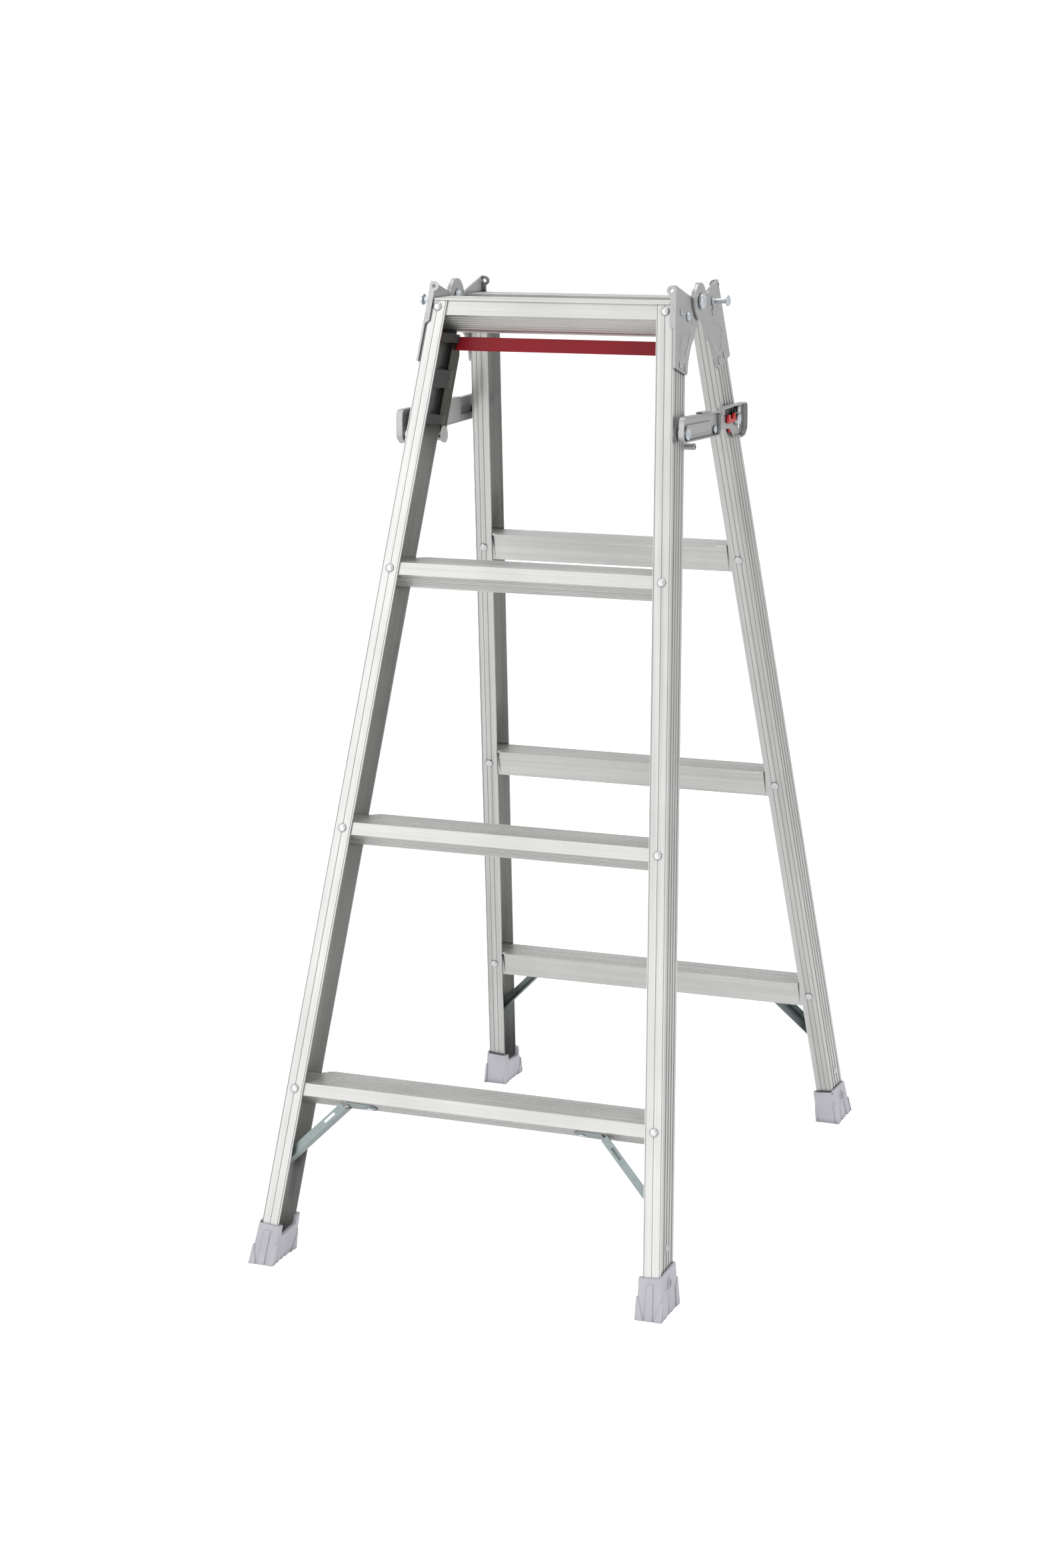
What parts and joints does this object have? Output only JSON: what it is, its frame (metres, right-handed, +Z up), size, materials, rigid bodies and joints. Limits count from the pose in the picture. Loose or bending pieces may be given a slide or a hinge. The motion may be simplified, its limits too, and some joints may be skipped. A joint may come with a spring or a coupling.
{
  "type": "multi position ladder",
  "caption": "Folding A-frame ladder with splayed channel rails, ribbed box treads, top hinges, locking side stays, release bar and corner braces; folds shut or opens straight.",
  "frame": {"origin": "on the floor, at the centre of the object's outline", "axes": "+Z up, +X to the ladder's right seen from the frame with the release bar, which leans to -Y"},
  "size_m": [0.495, 0.7824, 1.0894],
  "materials": {
    "rail_aluminium": "extruded satin",
    "tread_aluminium": "extruded ribbed satin",
    "plate_steel": "pressed zinc plate",
    "pin_zinc": "bright zinc plate",
    "brace_zinc": "dull zinc plate",
    "foot_plastic": "moulded matte",
    "guide_plastic": "moulded matte",
    "release_red": "gloss ribbed",
    "latch_red": "gloss",
    "washer_white": "matte"
  },
  "bodies": {
    "front_frame": {"front_right_rail": "rail_aluminium", "front_left_rail": "rail_aluminium", "front_tread_1": "tread_aluminium", "front_tread_2": "tread_aluminium", "front_tread_3": "tread_aluminium", "front_tread_4": "tread_aluminium", "front_right_brace": "brace_zinc", "front_left_brace": "brace_zinc", "front_right_foot": "foot_plastic", "front_left_foot": "foot_plastic", "front_right_hinge_plate": "plate_steel", "front_left_hinge_plate": "plate_steel", "front_left_catch_pin": "pin_zinc", "right_guide_cover": "guide_plastic", "left_guide_cover": "guide_plastic"},
    "hinge_pins": {"right_hinge_pin": "pin_zinc", "left_hinge_pin": "pin_zinc"},
    "rear_frame": {"rear_right_rail": "rail_aluminium", "rear_left_rail": "rail_aluminium", "rear_tread_1": "tread_aluminium", "rear_tread_2": "tread_aluminium", "rear_tread_3": "tread_aluminium", "rear_tread_4": "tread_aluminium", "rear_right_brace": "brace_zinc", "rear_left_brace": "brace_zinc", "rear_right_foot": "foot_plastic", "rear_left_foot": "foot_plastic", "rear_right_hinge_plate": "plate_steel", "rear_left_hinge_plate": "plate_steel", "rear_right_catch_pin": "pin_zinc"},
    "release": {"release_bar": "release_red", "right_slide_strip": "plate_steel", "left_slide_strip": "plate_steel", "right_release_stub": "plate_steel", "left_release_stub": "plate_steel"},
    "right_stay_pivot": {"right_stay_pivot_rivet": "pin_zinc", "right_stay_washer": "washer_white"},
    "right_stay_link": {"right_stay_link": "plate_steel", "right_stay_joint_rivet": "pin_zinc"},
    "right_stay_hook": {"right_stay_hook_bar": "plate_steel", "right_stay_hook_pin": "pin_zinc", "right_stay_latch_rivet": "pin_zinc"},
    "right_latch": {"right_stay_latch": "latch_red"},
    "left_stay_pivot": {"left_stay_pivot_rivet": "pin_zinc", "left_stay_washer": "washer_white"},
    "left_stay_link": {"left_stay_link": "plate_steel", "left_stay_joint_rivet": "pin_zinc"},
    "left_stay_hook": {"left_stay_hook_bar": "plate_steel", "left_stay_hook_pin": "pin_zinc", "left_stay_latch_rivet": "pin_zinc"},
    "left_latch": {"left_stay_latch": "latch_red"}
  },
  "joints": [
    {"name": "fold", "type": "hinge", "parent": "front_frame", "child": "hinge_pins", "pos_m": [0, 0, 1.068], "axis": [1, 0, 0], "range_deg": [-31.6, 0]},
    {"name": "extend", "type": "hinge", "parent": "hinge_pins", "child": "rear_frame", "pos_m": [0, 0, 1.068], "axis": [1, 0, 0], "range_deg": [0, 148.4]},
    {"name": "release_slide", "type": "slide", "parent": "front_frame", "child": "release", "axis": [0, 0.2723, 0.9622], "range_m": [0, 0.003]},
    {"name": "right_stay_swing", "type": "hinge", "parent": "front_frame", "child": "right_stay_pivot", "pos_m": [0, -0.097, 0.927], "axis": [1, 0, 0], "range_deg": [0, 63.05]},
    {"name": "right_stay_lift", "type": "hinge", "parent": "right_stay_pivot", "child": "right_stay_link", "pos_m": [0, -0.097, 0.927], "axis": [1, 0, 0], "range_deg": [0, 34.94]},
    {"name": "right_stay_bend", "type": "hinge", "parent": "right_stay_link", "child": "right_stay_hook", "pos_m": [0, 0.0085, 0.923], "axis": [1, 0, 0], "range_deg": [-116.56, 0]},
    {"name": "right_latch_press", "type": "hinge", "parent": "right_stay_hook", "child": "right_latch", "pos_m": [0, 0.096, 0.9386], "axis": [1, 0, 0], "range_deg": [-8, 0], "stiffness_Nm_per_rad": 0.02},
    {"name": "left_stay_swing", "type": "hinge", "parent": "rear_frame", "child": "left_stay_pivot", "pos_m": [0, 0.097, 0.927], "axis": [1, 0, 0], "range_deg": [-63.05, 0]},
    {"name": "left_stay_lift", "type": "hinge", "parent": "left_stay_pivot", "child": "left_stay_link", "pos_m": [0, 0.097, 0.927], "axis": [1, 0, 0], "range_deg": [-34.94, 0]},
    {"name": "left_stay_bend", "type": "hinge", "parent": "left_stay_link", "child": "left_stay_hook", "pos_m": [0, -0.0085, 0.923], "axis": [1, 0, 0], "range_deg": [0, 116.56]},
    {"name": "left_latch_press", "type": "hinge", "parent": "left_stay_hook", "child": "left_latch", "pos_m": [0, -0.096, 0.9386], "axis": [1, 0, 0], "range_deg": [0, 8], "stiffness_Nm_per_rad": 0.02}
  ],
  "couplings": [
    {"joint": "right_stay_swing", "follows": "extend", "ratio": 0.4245},
    {"joint": "right_stay_lift", "follows": "fold", "ratio": -1.104},
    {"joint": "right_stay_bend", "follows": "fold", "ratio": 3.687},
    {"joint": "left_stay_swing", "follows": "extend", "ratio": -0.4245},
    {"joint": "left_stay_lift", "follows": "fold", "ratio": 1.104},
    {"joint": "left_stay_bend", "follows": "fold", "ratio": -3.687}
  ]
}
